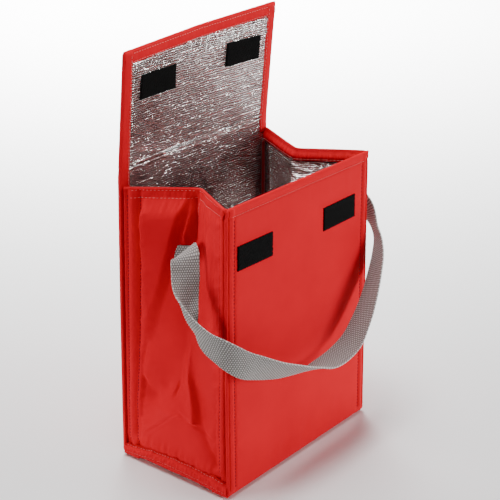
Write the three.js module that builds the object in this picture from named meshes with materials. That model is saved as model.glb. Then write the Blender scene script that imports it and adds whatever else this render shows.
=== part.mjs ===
// Soft lunch cooler bag standing open: a box of padded panels lined with foil, two side gussets that
// fold inwards, a flap that folds at a crease above the back rim, and a webbing handle.
// Millimetres. The origin is at the centre of the base's underside, +Z is up, -Y is the front.
import * as THREE from "three";

// Overall size
const WIDTH = 210;
const DEPTH = 132;
const HEIGHT = 275;
const LEAN = 4; // how far the front and back panels come in at the rim

// One wall is three plies: outer fabric, foam and foil liner, with a little air between
const OUTER = 0.7;
const FOAM = 2.7;
const LINER = 0.4;
const AIR = 0.3;
const WALL = OUTER + AIR + FOAM + AIR + LINER;
const BINDING = 0.7; // thickness of a folded edge strip

// Side gussets
const APEX = 62; // height where the inward fold starts
const FOLD_DEPTH = 36;
const FOLD_RISE = 85; // height over which the fold deepens
const VALLEY_Y = -2;
const RIM_HEM = 11;

// Flap
const CREASE = 13.5; // fold line above the rim
const FLAP_LENGTH = 109.5; // from the fold line to the free edge
const FLAP_LEAN = THREE.MathUtils.degToRad(5.5);
const FOLD_SETBACK = 4; // the padding stops this far from the fold line, on either side
const FOLD_FABRIC = 0.8;
const FLAP_EDGE = 10; // width of the edge binding

// Hook and loop patches
const PATCH_WIDTH = 48;
const PATCH_HEIGHT = 22;
const PATCH_THICKNESS = 1.5;
const PATCH_FROM_SIDE = 45; // from the side of the bag to the middle of a patch
const LOOP_BELOW_RIM = 47;
const HOOK_BELOW_EDGE = 39;

// Seams
const WELT_RADIUS = 2.2;
const BASE_BAND = 15; // height of the band that joins a gusset to the base
const BAND_THICKNESS = 2.2;

// Handle
const WEBBING_WIDTH = 25;
const WEBBING = 1.5;
const TAB_BELOW_RIM = 53;
const TAB_HEIGHT = 28;
const TAB_FRONT = 12; // from the tab's turning line to its front edge
const TAB_BACK = 12;
const TURN_Y = 2; // the line about which the handle swings

const red = new THREE.MeshStandardMaterial({ color: 0xd23430, roughness: 0.75 });
const foam = new THREE.MeshStandardMaterial({ color: 0xe9e6df, roughness: 0.95 });
const foil = new THREE.MeshStandardMaterial({ color: 0xb8b4b2, metalness: 0.9, roughness: 0.3 });
const webbing = new THREE.MeshStandardMaterial({ color: 0xa8a39e, roughness: 0.85 });
const black = new THREE.MeshStandardMaterial({ color: 0x0b0b0b, roughness: 1 });

const bag = new THREE.Group();

function add(parent, name, geometry, material) {
  const mesh = new THREE.Mesh(geometry, material);
  mesh.name = name;
  parent.add(mesh);
}

// A block between two opposite corners.
function block(x0, y0, z0, x1, y1, z1) {
  const geometry = new THREE.BoxGeometry(x1 - x0, y1 - y0, z1 - z0);
  return geometry.translate((x0 + x1) / 2, (y0 + y1) / 2, (z0 + z1) / 2);
}

function signedVolume(points, faces) {
  let sum = 0;
  for (const [a, b, c] of faces) {
    sum += points[a].dot(points[b].clone().cross(points[c])) / 6;
  }
  return sum;
}

// A triangle of an outline, turned to run the same way round as the outline does.
function alongOutline([a, b, c], outline) {
  const area = THREE.ShapeUtils.area([outline[a], outline[b], outline[c]]);
  const turned = area * THREE.ShapeUtils.area(outline) < 0;
  return turned ? [a, c, b] : [a, b, c];
}

// A closed solid through rings of equally many points. Each end is closed over the flat outline. The
// sides from firstTurned on are split along their other diagonal, so two faces of one sheet match.
function loft(rings, outline, firstTurned = Infinity) {
  const count = rings[0].length;
  const points = rings.flat();
  const last = points.length - count;
  const faces = [];
  for (let start = 0; start < last; start += count) {
    for (let i = 0; i < count; i++) {
      const a = start + i;
      const b = start + ((i + 1) % count);
      if (i < firstTurned) faces.push([a, b, b + count], [a, b + count, a + count]);
      else faces.push([a, b, a + count], [b, b + count, a + count]);
    }
  }
  for (const triangle of THREE.ShapeUtils.triangulateShape(outline, [])) {
    const [a, b, c] = alongOutline(triangle, outline);
    faces.push([a, c, b], [last + a, last + b, last + c]);
  }
  const outward = signedVolume(points, faces) < 0 ? faces.map(([a, b, c]) => [a, c, b]) : faces;
  const geometry = new THREE.BufferGeometry().setFromPoints(points);
  geometry.setIndex(outward.flat());
  geometry.computeVertexNormals();
  return geometry;
}

// Base: three flat plies on the ground.
function addBase() {
  const plies = [
    ["base_outer", 0, OUTER, red],
    ["base_foam", OUTER + AIR, OUTER + AIR + FOAM, foam],
    ["base_liner", WALL - LINER, WALL, foil],
  ];
  for (const [name, bottom, top, material] of plies) {
    add(bag, name, block(-WIDTH / 2, -DEPTH / 2, bottom, WIDTH / 2, DEPTH / 2, top), material);
  }
}

// Front and back panels stand on the base and lean in. Inside a panel's group +Y runs from the outer
// face to the inside for the front, and -Y does for the back.
const PANEL_FOOT = WALL + AIR;
const PANEL_LEAN = Math.atan2(LEAN, HEIGHT);
const FRONT_HEIGHT = HEIGHT - PANEL_FOOT - BINDING - AIR;
const BACK_HEIGHT = HEIGHT - PANEL_FOOT + CREASE - FOLD_SETBACK;

function panelGroup(inward) {
  const group = new THREE.Group();
  group.position.set(0, (-inward * DEPTH) / 2, PANEL_FOOT);
  group.rotation.x = -inward * PANEL_LEAN;
  bag.add(group);
  return group;
}

function addPlies(group, prefix, inward, half, bottom, top) {
  const plies = [
    ["_outer", 0, OUTER, red],
    ["_foam", OUTER + AIR, OUTER + AIR + FOAM, foam],
    ["_liner", WALL - LINER, WALL, foil],
  ];
  for (const [suffix, near, far, material] of plies) {
    const y0 = Math.min(inward * near, inward * far);
    const y1 = Math.max(inward * near, inward * far);
    add(group, prefix + suffix, block(-half, y0, bottom, half, y1, top), material);
  }
}

// A half-round bead on the side face of a panel, where it is sewn to a gusset.
function addWelt(group, name, side, inward, height) {
  const profile = new THREE.Shape();
  profile.absarc(0, 0, WELT_RADIUS, -Math.PI / 2, Math.PI / 2, false);
  profile.closePath();
  const options = { depth: height, bevelEnabled: false, curveSegments: 8 };
  const geometry = new THREE.ExtrudeGeometry(profile, options);
  geometry.rotateZ(side < 0 ? Math.PI : 0);
  geometry.translate(side * (WIDTH / 2 + AIR), (inward * WALL) / 2, 0);
  add(group, name, geometry, red);
}

// The folded strip over the front panel's top edge.
function addFrontHem(group) {
  const profile = new THREE.Shape();
  profile.moveTo(-AIR, FRONT_HEIGHT - RIM_HEM);
  profile.lineTo(-AIR, FRONT_HEIGHT + AIR);
  profile.lineTo(WALL, FRONT_HEIGHT + AIR);
  profile.lineTo(WALL, FRONT_HEIGHT + AIR + BINDING);
  profile.lineTo(-AIR - BINDING, FRONT_HEIGHT + AIR + BINDING);
  profile.lineTo(-AIR - BINDING, FRONT_HEIGHT - RIM_HEM);
  profile.closePath();
  const geometry = new THREE.ExtrudeGeometry(profile, { depth: WIDTH, bevelEnabled: false });
  // the profile's plane becomes the YZ plane and its depth runs along X
  geometry.applyMatrix4(new THREE.Matrix4().set(0, 0, 1, -WIDTH / 2, 1, 0, 0, 0, 0, 1, 0, 0, 0, 0, 0, 1));
  add(group, "front_hem", geometry, red);
}

function addLoopPatches(group) {
  const top = FRONT_HEIGHT + AIR + BINDING - LOOP_BELOW_RIM + PATCH_HEIGHT / 2;
  for (const [name, side] of [["loop_patch_left", -1], ["loop_patch_right", 1]]) {
    const middle = side * (WIDTH / 2 - PATCH_FROM_SIDE);
    const patch = block(
      middle - PATCH_WIDTH / 2, -AIR - PATCH_THICKNESS, top - PATCH_HEIGHT,
      middle + PATCH_WIDTH / 2, -AIR, top,
    );
    add(group, name, patch, black);
  }
}

function addFront() {
  const group = panelGroup(1);
  addPlies(group, "front", 1, WIDTH / 2, 0, FRONT_HEIGHT);
  addWelt(group, "front_welt_left", -1, 1, FRONT_HEIGHT);
  addWelt(group, "front_welt_right", 1, 1, FRONT_HEIGHT);
  addFrontHem(group);
  addLoopPatches(group);
}

function addBack() {
  const group = panelGroup(-1);
  addPlies(group, "back", -1, WIDTH / 2, 0, BACK_HEIGHT);
  addWelt(group, "back_welt_left", -1, -1, BACK_HEIGHT);
  addWelt(group, "back_welt_right", 1, -1, BACK_HEIGHT);
  // bare fabric that carries on from the back panel through the fold line up to the flap
  const middle = -WALL / 2;
  const strip = block(
    -WIDTH / 2 + FLAP_EDGE, middle - FOLD_FABRIC / 2, BACK_HEIGHT + AIR / 2,
    WIDTH / 2 - FLAP_EDGE, middle + FOLD_FABRIC / 2, BACK_HEIGHT + 2 * FOLD_SETBACK - 2 * AIR,
  );
  add(group, "flap_fold_strip", strip, red);
}

// Gusset surface: how far it lies inside the flat side, at a height and a depth.
function gussetEdge(z) {
  return DEPTH / 2 - WALL - AIR - (LEAN * z) / HEIGHT - AIR;
}

function foldDepth(z) {
  return z > APEX ? FOLD_DEPTH * (1 - Math.exp(-(z - APEX) / FOLD_RISE)) : 0;
}

function inset(y, z) {
  const edge = gussetEdge(z);
  const share = y > VALLEY_Y ? (edge - y) / (edge - VALLEY_Y) : (y + edge) / (edge + VALLEY_Y);
  return foldDepth(z) * share;
}

// A point of the gusset on one side, moved inwards from the outer face by an offset.
function gussetPoint(side, y, z, offset) {
  return new THREE.Vector3(side * (WIDTH / 2 - inset(y, z) - offset), y, z);
}

// One ply of a gusset, as rings from the base to the rim.
function gussetPly(side, levels, depths, near, far) {
  const ring = (z) => {
    const ys = depths(z);
    const outside = ys.map((y) => gussetPoint(side, y, z, near));
    const inside = ys.map((y) => gussetPoint(side, y, z, far)).reverse();
    return outside.concat(inside);
  };
  const rings = levels.map(ring);
  const outline = rings[rings.length - 1].map((p) => new THREE.Vector2(p.x, p.y));
  return loft(rings, outline, outline.length / 2);
}

const GUSSET_TOP = HEIGHT - BINDING - AIR;
const HEM_FOOT = GUSSET_TOP - RIM_HEM;
const FOLD_STEPS = 12;

function gussetLevels() {
  const levels = [PANEL_FOOT];
  for (let i = 0; i <= FOLD_STEPS; i++) {
    levels.push(APEX + ((HEM_FOOT - APEX) * i) / FOLD_STEPS);
  }
  levels.push(GUSSET_TOP);
  return levels;
}

function gussetDepths(z) {
  const edge = gussetEdge(z);
  return [edge, VALLEY_Y, -edge];
}

// The strip folded over a gusset's rim, inside and outside.
function gussetHem(side) {
  const low = HEM_FOOT;
  const high = GUSSET_TOP + AIR;
  const section = [
    [-AIR, low], [-AIR, high], [WALL + AIR, high], [WALL + AIR, low],
    [WALL + AIR + BINDING, low], [WALL + AIR + BINDING, high + BINDING],
    [-AIR - BINDING, high + BINDING], [-AIR - BINDING, low],
  ];
  const edge = gussetEdge(HEIGHT) - AIR;
  const ring = (y) => section.map(([offset, z]) => gussetPoint(side, y, z, offset));
  const outline = section.map(([offset, z]) => new THREE.Vector2(offset, z));
  return loft([edge, VALLEY_Y, -edge].map(ring), outline);
}

// The stitched band low on a gusset, where it meets the base.
function baseBand(side) {
  const edge = gussetEdge(0) - AIR;
  const x0 = side * (WIDTH / 2 + AIR);
  const x1 = side * (WIDTH / 2 + AIR + BAND_THICKNESS);
  return block(Math.min(x0, x1), -edge, AIR, Math.max(x0, x1), edge, BASE_BAND);
}

function addGusset(name, side) {
  const ply = (near, far) => gussetPly(side, gussetLevels(), gussetDepths, near, far);
  add(bag, name + "_gusset_outer", ply(0, OUTER), red);
  add(bag, name + "_gusset_foam", ply(OUTER + AIR, OUTER + AIR + FOAM), foam);
  add(bag, name + "_gusset_liner", ply(WALL - LINER, WALL), foil);
  add(bag, name + "_gusset_hem", gussetHem(side), red);
  add(bag, name + "_base_band", baseBand(side), red);
}

// The flap stands up behind the mouth in its own group, whose origin is on the fold line.
const FOLD_UP = BACK_HEIGHT + FOLD_SETBACK;
const FOLD_IN = WALL / 2;
const FOLD_LINE_Z = PANEL_FOOT + FOLD_UP * Math.cos(PANEL_LEAN) - FOLD_IN * Math.sin(PANEL_LEAN);
const FOLD_LINE_Y = DEPTH / 2 - FOLD_IN * Math.cos(PANEL_LEAN) - FOLD_UP * Math.sin(PANEL_LEAN);

// A strip folded round one edge of the flap, as a U section lying in the plane across that edge.
function edgeBinding(length, setback) {
  const half = WALL / 2;
  const profile = new THREE.Shape();
  profile.moveTo(-FLAP_EDGE, half + AIR);
  profile.lineTo(-setback + AIR, half + AIR);
  profile.lineTo(-setback + AIR, -half - AIR);
  profile.lineTo(-FLAP_EDGE, -half - AIR);
  profile.lineTo(-FLAP_EDGE, -half - AIR - BINDING);
  profile.lineTo(-setback + AIR + BINDING, -half - AIR - BINDING);
  profile.lineTo(-setback + AIR + BINDING, half + AIR + BINDING);
  profile.lineTo(-FLAP_EDGE, half + AIR + BINDING);
  profile.closePath();
  return new THREE.ExtrudeGeometry(profile, { depth: length, bevelEnabled: false });
}

function addFlap() {
  const group = new THREE.Group();
  group.position.set(0, FOLD_LINE_Y, FOLD_LINE_Z);
  group.rotation.x = FLAP_LEAN;
  bag.add(group);
  const setback = AIR + BINDING;
  const half = WIDTH / 2 - setback;
  const top = FLAP_LENGTH - setback;
  const plies = new THREE.Group();
  plies.position.y = WALL / 2;
  group.add(plies);
  addPlies(plies, "flap", -1, half, FOLD_SETBACK, top);
  const sideLength = FLAP_LENGTH - FOLD_SETBACK - FLAP_EDGE - AIR;
  const right = edgeBinding(sideLength, setback).translate(WIDTH / 2, 0, FOLD_SETBACK);
  add(group, "flap_binding_right", right, red);
  const left = edgeBinding(sideLength, setback).rotateZ(Math.PI).translate(-WIDTH / 2, 0, FOLD_SETBACK);
  add(group, "flap_binding_left", left, red);
  const along = edgeBinding(WIDTH, setback).rotateY(-Math.PI / 2);
  add(group, "flap_binding_top", along.translate(WIDTH / 2, 0, FLAP_LENGTH), red);
  const hookMiddle = FLAP_LENGTH - HOOK_BELOW_EDGE;
  for (const [name, side] of [["hook_patch_left", -1], ["hook_patch_right", 1]]) {
    const middle = side * (WIDTH / 2 - PATCH_FROM_SIDE);
    const face = -WALL / 2 - AIR;
    const patch = block(
      middle - PATCH_WIDTH / 2, face - PATCH_THICKNESS, hookMiddle - PATCH_HEIGHT / 2,
      middle + PATCH_WIDTH / 2, face, hookMiddle + PATCH_HEIGHT / 2,
    );
    add(group, name, patch, black);
  }
}

// The sewn end of the handle lies in the gusset's fold.
const TAB_TOP = HEIGHT - TAB_BELOW_RIM;

function addTab(name, side) {
  const levels = [TAB_TOP - TAB_HEIGHT, TAB_TOP - TAB_HEIGHT / 2, TAB_TOP];
  const depths = () => [TURN_Y + TAB_BACK, VALLEY_Y, TURN_Y - TAB_FRONT];
  add(bag, name, gussetPly(side, levels, depths, -AIR - WEBBING, -AIR), webbing);
}

// A station of the handle is the middle of the webbing and the direction across it, to the edge that is
// in front where the webbing is sewn. The route's lengths are for webbing of ROUTE_WEBBING and grow with it.
const TAB_X = WIDTH / 2 - inset(TURN_Y, TAB_TOP);
const ROUTE_WEBBING = 25;
const ROUTE = WEBBING_WIDTH / ROUTE_WEBBING;

function station(x, y, drop, across) {
  return { middle: new THREE.Vector3(x, y, TAB_TOP - drop * ROUTE), across };
}

// over a tab, out from the gusset there and forward from the tab's middle
function atTab(side, out, forward, drop, across) {
  return station(side * (TAB_X + out * ROUTE), TURN_Y - forward * ROUTE, drop, across);
}

// beside a gusset, out from the flat side and forward from the tab's middle
function atSide(side, out, forward, drop, across) {
  return station(side * (WIDTH / 2 + out * ROUTE), TURN_Y - forward * ROUTE, drop, across);
}

// in front of the bag, inwards from a side and forward from the front panel's foot
function atFront(side, inwards, forward, drop, across) {
  return station(side * (WIDTH / 2 - inwards * ROUTE), -DEPTH / 2 - forward * ROUTE, drop, across);
}

// from the left tab round the front to the right tab, turning over once beside each gusset
const HANDLE_STATIONS = [
  atTab(-1, 8.7, 0, 1, [0.39, -0.92, 0]),
  atTab(-1, 17.5, 3, -5, [0.45, -0.82, 0.35]),
  atTab(-1, 25.5, 17.5, -3.5, [0.76, -0.5, 0.41]),
  atSide(-1, 1, 20.5, 12.5, [0.71, -0.71, -0.01]),
  atSide(-1, 5, 24, 24, [0.87, -0.46, -0.16]),
  atSide(-1, 9, 29, 34.5, [0.96, -0.13, -0.24]),
  atSide(-1, 12.5, 35, 43.5, [0.95, 0.18, -0.27]),
  atSide(-1, 14, 40, 50, [0.67, 0.57, -0.47]),
  atSide(-1, 14, 45.5, 56, [0.41, 0.63, -0.66]),
  atSide(-1, 13, 56, 64.5, [0.08, 0.53, -0.85]),
  atFront(-1, -9.5, 2.5, 71, [-0.17, 0.32, -0.93]),
  atFront(-1, 4, 13, 83.5, [-0.3, 0.09, -0.95]),
  atFront(-1, 21, 17.5, 92.5, [0.11, 0.26, -0.96]),
  atFront(-1, 40, 20.5, 101.5, [0.39, 0.41, -0.83]),
  atFront(-1, 62, 22, 110, [0.55, 0.49, -0.68]),
  atFront(-1, 88, 22.5, 118.5, [0.69, 0.56, -0.47]),
  atFront(1, 96.5, 22.5, 122.5, [0.59, 0.81, -0.04]),
  atFront(1, 74.5, 22, 121.5, [0.46, 0.88, 0.15]),
  atFront(1, 54.5, 21.5, 115, [0.32, 0.93, 0.19]),
  atFront(1, 39, 20.5, 101, [0.25, 0.97, -0.02]),
  atFront(1, 26.5, 19, 86.5, [0.22, 0.94, -0.28]),
  atFront(1, 10.5, 15, 65, [0.33, 0.87, -0.37]),
  atFront(1, -5, 8, 45.5, [0.54, 0.8, -0.25]),
  atFront(1, -14, -1, 29.5, [0.65, 0.68, -0.34]),
  atSide(1, 12, 52, 6, [0.1, 0.5, -0.85]),
  atSide(1, 5, 35, 0, [-0.9, 0.25, -0.3]),
  atTab(1, 25.5, 17, -4, [-0.65, -0.65, 0.3]),
  atTab(1, 19.5, 4, -5, [-0.42, -0.84, 0.3]),
  atTab(1, 8.7, 0, 1, [-0.39, -0.92, 0]),
];
const HANDLE_STEPS = 112;

function handleGeometry() {
  const middles = new THREE.CatmullRomCurve3(HANDLE_STATIONS.map((s) => s.middle));
  const acrosses = new THREE.CatmullRomCurve3(HANDLE_STATIONS.map((s) => new THREE.Vector3(...s.across)));
  const rings = [];
  for (let i = 0; i <= HANDLE_STEPS; i++) {
    const t = i / HANDLE_STEPS;
    const along = middles.getTangent(t);
    const across = acrosses.getPoint(t);
    across.addScaledVector(along, -across.dot(along)).setLength(WEBBING_WIDTH / 2);
    const thick = across.clone().cross(along).setLength(WEBBING / 2);
    const corner = (a, b) => middles.getPoint(t).addScaledVector(across, a).addScaledVector(thick, b);
    rings.push([corner(-1, -1), corner(1, -1), corner(1, 1), corner(-1, 1)]);
  }
  const square = [[0, 0], [1, 0], [1, 1], [0, 1]].map(([x, y]) => new THREE.Vector2(x, y));
  return loft(rings, square);
}

addBase();
addFront();
addBack();
addGusset("left", -1);
addGusset("right", 1);
addFlap();
addTab("handle_tab_left", -1);
addTab("handle_tab_right", 1);
add(bag, "handle", handleGeometry(), webbing);

export default bag;
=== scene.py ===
"""A soft lunch cooler bag standing open: padded red nylon walls, foil lining, sewn edges, webbing handle.

Shapes are worked out in millimetres in the part's own frame: the origin is at the centre of the base's
underside, +Z is up and -Y is the front. They are turned into metres when a mesh is made.
"""
import math

import bpy
import numpy as np
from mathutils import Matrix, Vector


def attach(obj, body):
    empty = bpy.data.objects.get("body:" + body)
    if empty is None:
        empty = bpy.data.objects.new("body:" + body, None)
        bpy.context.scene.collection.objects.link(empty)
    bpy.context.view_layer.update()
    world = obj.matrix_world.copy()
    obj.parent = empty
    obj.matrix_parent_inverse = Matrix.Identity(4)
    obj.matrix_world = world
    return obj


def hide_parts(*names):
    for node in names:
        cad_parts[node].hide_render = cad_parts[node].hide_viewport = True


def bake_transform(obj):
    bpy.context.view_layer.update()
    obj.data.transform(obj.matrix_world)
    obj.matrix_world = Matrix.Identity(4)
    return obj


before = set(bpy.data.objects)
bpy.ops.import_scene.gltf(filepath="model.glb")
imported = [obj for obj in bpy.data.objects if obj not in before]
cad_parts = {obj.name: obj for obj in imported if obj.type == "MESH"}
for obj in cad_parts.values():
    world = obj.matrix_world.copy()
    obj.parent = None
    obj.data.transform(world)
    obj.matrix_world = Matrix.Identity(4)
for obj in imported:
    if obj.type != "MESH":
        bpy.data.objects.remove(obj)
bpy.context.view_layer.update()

MM = 0.001
SIDES = (("left", -1), ("right", 1))

# The bag's walls
HALF_WIDTH = 105.0
HALF_DEPTH = 66.0
HEIGHT = 275.0
LEAN = 4.0  # how far the front and back come in at the rim
PAD = 3.4
THIN_PAD = 1.5  # the padding under a hem
WALL = 4.4
PANEL_EDGE = 106.6  # from the middle to the side edge of the front panel
BOTTOM_FOLD = 6.0
FLANGE = 46.0  # where a wall's lower end stops under the base
LINING = 4.0  # from a wall's outer face in to the lining
LINING_FOOT = 5.2
LINING_TOP = HEIGHT - 7.0

# The folds of the sides
GUSSET_GAP = 0.6
APEX = 62.0
FOLD_DEPTH = 36.0
FOLD_RISE = 85.0
VALLEY_Y = -2.0
VALLEY_ROUND = 3.0
CREASE_Y = -5.0
CREASE_TOP = 68.0
GUSSET_SPAN = 60.0  # about half the depth of a side
GUSSET_FOOT = 3.0
GUSSET_TOP = HEIGHT - 1.2

# Hems and seams: places of stitches, in from an edge unless they are named otherwise
HEM = 11.0
HEM_FABRIC = 0.6
RIM_OUT = WALL / 2 + 0.3
RIM_ROUND = 1.25
HEM_STITCH_Z = 266.5
HEM_JOINTS = (32.0, 79.0)
PANEL_STITCH_X = 96.0
BACK_STITCH_TOP = 262.0
REAR_STITCHES = (3.2, 13.8)
FORE_STITCH = 6.8
RIM_STITCHES = (2.6, 9.8)
HEM_INSIDE_STITCH = 9.6
BASE_STITCHES = (0.33, 0.88)  # shares of the base band's height
STITCH_LENGTH = 2.5
STITCH_PITCH = 3.5
THREAD_RADIUS = 0.3

# The bound seams in the inside corners: name, shift from the corner, and lean off the side and off the wall
CORNER_STRIPS = (("wall", 0.4, (0.75, 0.66)), ("side", 2.6, (0.95, 0.3)))
CORNER_STRIP_WIDTH = 6.0
CORNER_X = 99.6
CORNER_IN = 4.6

# The flap
FOLD_Y = 59.673
FOLD_Z = 288.438
FLAP_LENGTH = 109.5
FLAP_LEAN = math.radians(5.5)
FLAP_SIDE_BINDINGS = {-1: 10.5, 1: 12.5}
FLAP_TOP_BINDING = 12.0
BINDING_EDGE = 1.6
BINDING_FABRIC = 0.6
SIDE_BINDING_STITCH = 1.7  # in from the inner edge
TOP_BINDING_STITCHES = (3.4, 10.6)
FOIL_CREASES = (2.4, -2.0)  # above the fold line

# Hook and loop patches
PATCH_WIDTH = 48.0
PATCH_HEIGHT = 22.0
PATCH_THICKNESS = 1.5
PATCH_SINK = 0.2
LOOP_WIDTHS = {-1: 48.0, 1: 51.0}
LOOP_MIDDLES = {-1: -69.0, 1: 56.8}
LOOP_BELOW_RIM = 47.0
HOOK_MIDDLE = 60.0
HOOK_BELOW_EDGE = 37.2
HOOK_TILTS = {-1: math.radians(-1.3), 1: math.radians(-2.8)}

# Webbing
WEBBING_WIDTH = 25.0
WEBBING = 1.5
WEAVE_PITCH = 2.1
WEAVE_STEP = WEAVE_PITCH / 4
TAB_TOP = HEIGHT - 53.0
TAB_HEIGHT = 28.0
TAB_HALF = 12.0
TAB_OUT = 2.3
TURN_Y = 2.0
TURN_STATION = 7  # where the strap curls as it turns over beside the left gusset
TURN_CURL = 0.11
TURN_LENGTH = 16.0
ROW_EASE = 10  # steps over which the direction of the weave's rows is averaged


# Numeric helpers

def ease(t):
    t = np.clip(t, 0.0, 1.0)
    return t * t * (3 - 2 * t)


def bell(distance, width):
    return np.exp(-((distance / width) ** 2))


def two_sided(distance, width_over, width_under):
    return np.where(distance > 0, bell(distance, width_over), bell(distance, width_under))


def peak(distance, width_over, width_under):
    """A fold with a crisp top, falling off over a width on either side."""
    away = np.sqrt(distance**2 + 0.5) - 0.7
    return np.exp(-away / np.where(distance > 0, width_over, width_under))


def between(z, low, high, soft):
    return ease((z - low) / soft) * ease((high - z) / soft)


def soft_ramp(t, soft):
    """Nothing below zero, rising evenly above it, rounded over a soft length."""
    return 0.5 * (t + np.sqrt(t * t + soft * soft))


def ripple(a, b, wavelength, seed, waves=7):
    """A smooth random field over two lengths, about -1 to 1."""
    rng = np.random.default_rng(seed)
    total = 0.0
    for _ in range(waves):
        angle = rng.uniform(0, math.pi)
        k = 2 * math.pi / (wavelength * rng.uniform(0.7, 1.5))
        phase = rng.uniform(0, 2 * math.pi)
        total = total + np.sin(k * (a * math.cos(angle) + b * math.sin(angle)) + phase)
    return total / math.sqrt(waves) * 0.8


def gathers(along, wavelength, seed):
    """Uneven gathers along a seam, about 0 to 1."""
    rng = np.random.default_rng(seed)
    total = 0.0
    for share in (1.0, 0.63, 1.71):
        total = total + np.sin(2 * math.pi * along / (wavelength * share) + rng.uniform(0, 2 * math.pi))
    return np.clip(0.5 + total / 4.5, 0, 1)


def crinkle(a, b, seed, along_a=0.5):
    """Sharp creases as in foil, in millimetres. along_a below 1 stretches them along a."""
    rng = np.random.default_rng(seed)
    total = 0.0
    for wavelength, height in ((17.0, 0.5), (9.5, 0.45), (6.0, 0.4), (4.2, 0.3)):
        for _ in range(3):
            angle = rng.uniform(-0.7, 0.7)
            bend = ripple(a, b, 3 * wavelength, rng.integers(1 << 30), 4)
            line = b * math.cos(angle) + a * along_a * math.sin(angle)
            wave = np.sin(2 * math.pi * line / wavelength + 2.2 * bend + rng.uniform(0, 6.28))
            patch = 0.5 + 0.6 * ripple(a, b, 4 * wavelength, rng.integers(1 << 30), 4)
            total = total + height * np.clip(patch, 0, 1) * (1 - np.abs(wave)) ** 1.4
    return total


def points_at(x, y, z):
    return np.stack(np.broadcast_arrays(x, y, z), -1)


def unit(vectors):
    return vectors / np.linalg.norm(vectors, axis=-1, keepdims=True)


def tangents(line):
    return unit(np.gradient(line, axis=0))


def lengths_along(line):
    return np.concatenate([[0], np.cumsum(np.linalg.norm(np.diff(line, axis=0), axis=1))])


def at_lengths(places, lengths, line):
    """A line's values at some places along it."""
    return np.stack([np.interp(places, lengths, line[:, k]) for k in range(3)], -1)


def smoothed(vectors, reach):
    """Vectors along a line, each averaged with its neighbours over about a reach of places."""
    weights = bell(np.arange(-3 * reach, 3 * reach + 1), reach)
    weights = weights / weights.sum()
    padded = np.pad(vectors, ((3 * reach, 3 * reach), (0, 0)), mode="edge")
    return np.stack([np.convolve(padded[:, k], weights, "valid") for k in range(3)], -1)


# The bag's surface

def back_face(z):
    return HALF_DEPTH - LEAN * z / HEIGHT


def front_face(z):
    return -back_face(z)


def gusset_edge(z):
    return back_face(z) - WALL - GUSSET_GAP


def fold_depth(z):
    return FOLD_DEPTH * (1 - np.exp(-np.maximum(z - APEX, 0) / FOLD_RISE))


def valley_y(z):
    return VALLEY_Y - 2.5 * ease((z - 225) / 45)


def inset(y, z):
    """How far the gusset lies inside the flat side."""
    edge = gusset_edge(z)
    valley = valley_y(z)
    away = np.sqrt((y - valley) ** 2 + VALLEY_ROUND**2) - VALLEY_ROUND
    span = np.where(y > valley, edge - valley, edge + valley) - VALLEY_ROUND * 0.8
    return fold_depth(z) * np.clip(1 - away / span, 0, 1)


def settle(points):
    """The sewn bag stands a little out of square: the back left corner is low, the front left one high."""
    p = np.array(points, float)
    right = np.clip((p[..., 0] / HALF_WIDTH + 1) / 2, 0, 1)
    left = 1 - right
    back = np.clip((p[..., 1] / HALF_DEPTH + 1) / 2, 0, 1)
    up = np.clip(p[..., 2] / HEIGHT, 0, 1) ** 2
    flap = ease((p[..., 2] - FOLD_Z) / FLAP_LENGTH)
    p[..., 0] += 5.0 * up * left * (1 - back) ** 2
    p[..., 1] += up * back * (-2.5 * left + 1.5 * right)
    p[..., 2] += up * (back * (-3.5 * left + 1.5 * right) + (1 - back) * (2.0 * left + right))
    p[..., 2] += flap * (-0.7 * left + 3.7 * right)
    return p


# Mesh making

def make_piece(name, points, faces, material, uvs=None, settled=True, sharp=50):
    points = np.asarray(points, float)
    if settled:
        points = settle(points)
    mesh = bpy.data.meshes.new(name)
    mesh.from_pydata((points * MM).tolist(), [], faces)
    if uvs is not None:
        layer = mesh.uv_layers.new(name="UVMap")
        loops = np.zeros(len(mesh.loops), np.int32)
        mesh.loops.foreach_get("vertex_index", loops)
        layer.data.foreach_set("uv", np.asarray(uvs, np.float32)[loops].ravel())
    mesh.polygons.foreach_set("use_smooth", np.ones(len(mesh.polygons), bool))
    mesh.set_sharp_from_angle(angle=math.radians(sharp))
    mesh.materials.append(material)
    piece = bpy.data.objects.new(name, mesh)
    bpy.context.scene.collection.objects.link(piece)
    return piece


def facing_out(points, faces):
    """The faces of a closed piece, turned over if they face inwards."""
    p = (points - points.mean(0))[np.array([f[:3] for f in faces])]
    volume = np.einsum("ij,ij->i", p[:, 0], np.cross(p[:, 1], p[:, 2])).sum()
    return [f[::-1] for f in faces] if volume < 0 else faces


def grid_faces(rows, cols, start=0, flip=False):
    r, c = np.meshgrid(np.arange(rows - 1), np.arange(cols - 1), indexing="ij")
    a = (start + r * cols + c).ravel()
    quads = np.stack([a, a + 1, a + cols + 1, a + cols], 1)
    return quads[:, ::-1].tolist() if flip else quads.tolist()


def rim_indices(rows, cols):
    """The border of a grid, once round."""
    first = list(range(cols))
    right = [r * cols + cols - 1 for r in range(1, rows)]
    last = [(rows - 1) * cols + c for c in range(cols - 2, -1, -1)]
    left = [r * cols for r in range(rows - 2, 0, -1)]
    return first + right + last + left


def slab(name, top, under, material, **options):
    """A closed piece between two grids of points that have the same border order."""
    rows, cols = top.shape[:2]
    count = rows * cols
    points = np.concatenate([top.reshape(-1, 3), under.reshape(-1, 3)])
    faces = grid_faces(rows, cols) + grid_faces(rows, cols, count, flip=True)
    rim = rim_indices(rows, cols)
    for a, b in zip(rim, rim[1:] + rim[:1]):
        faces.append([b, a, a + count, b + count])
    return make_piece(name, points, facing_out(points, faces), material, **options)


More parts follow.
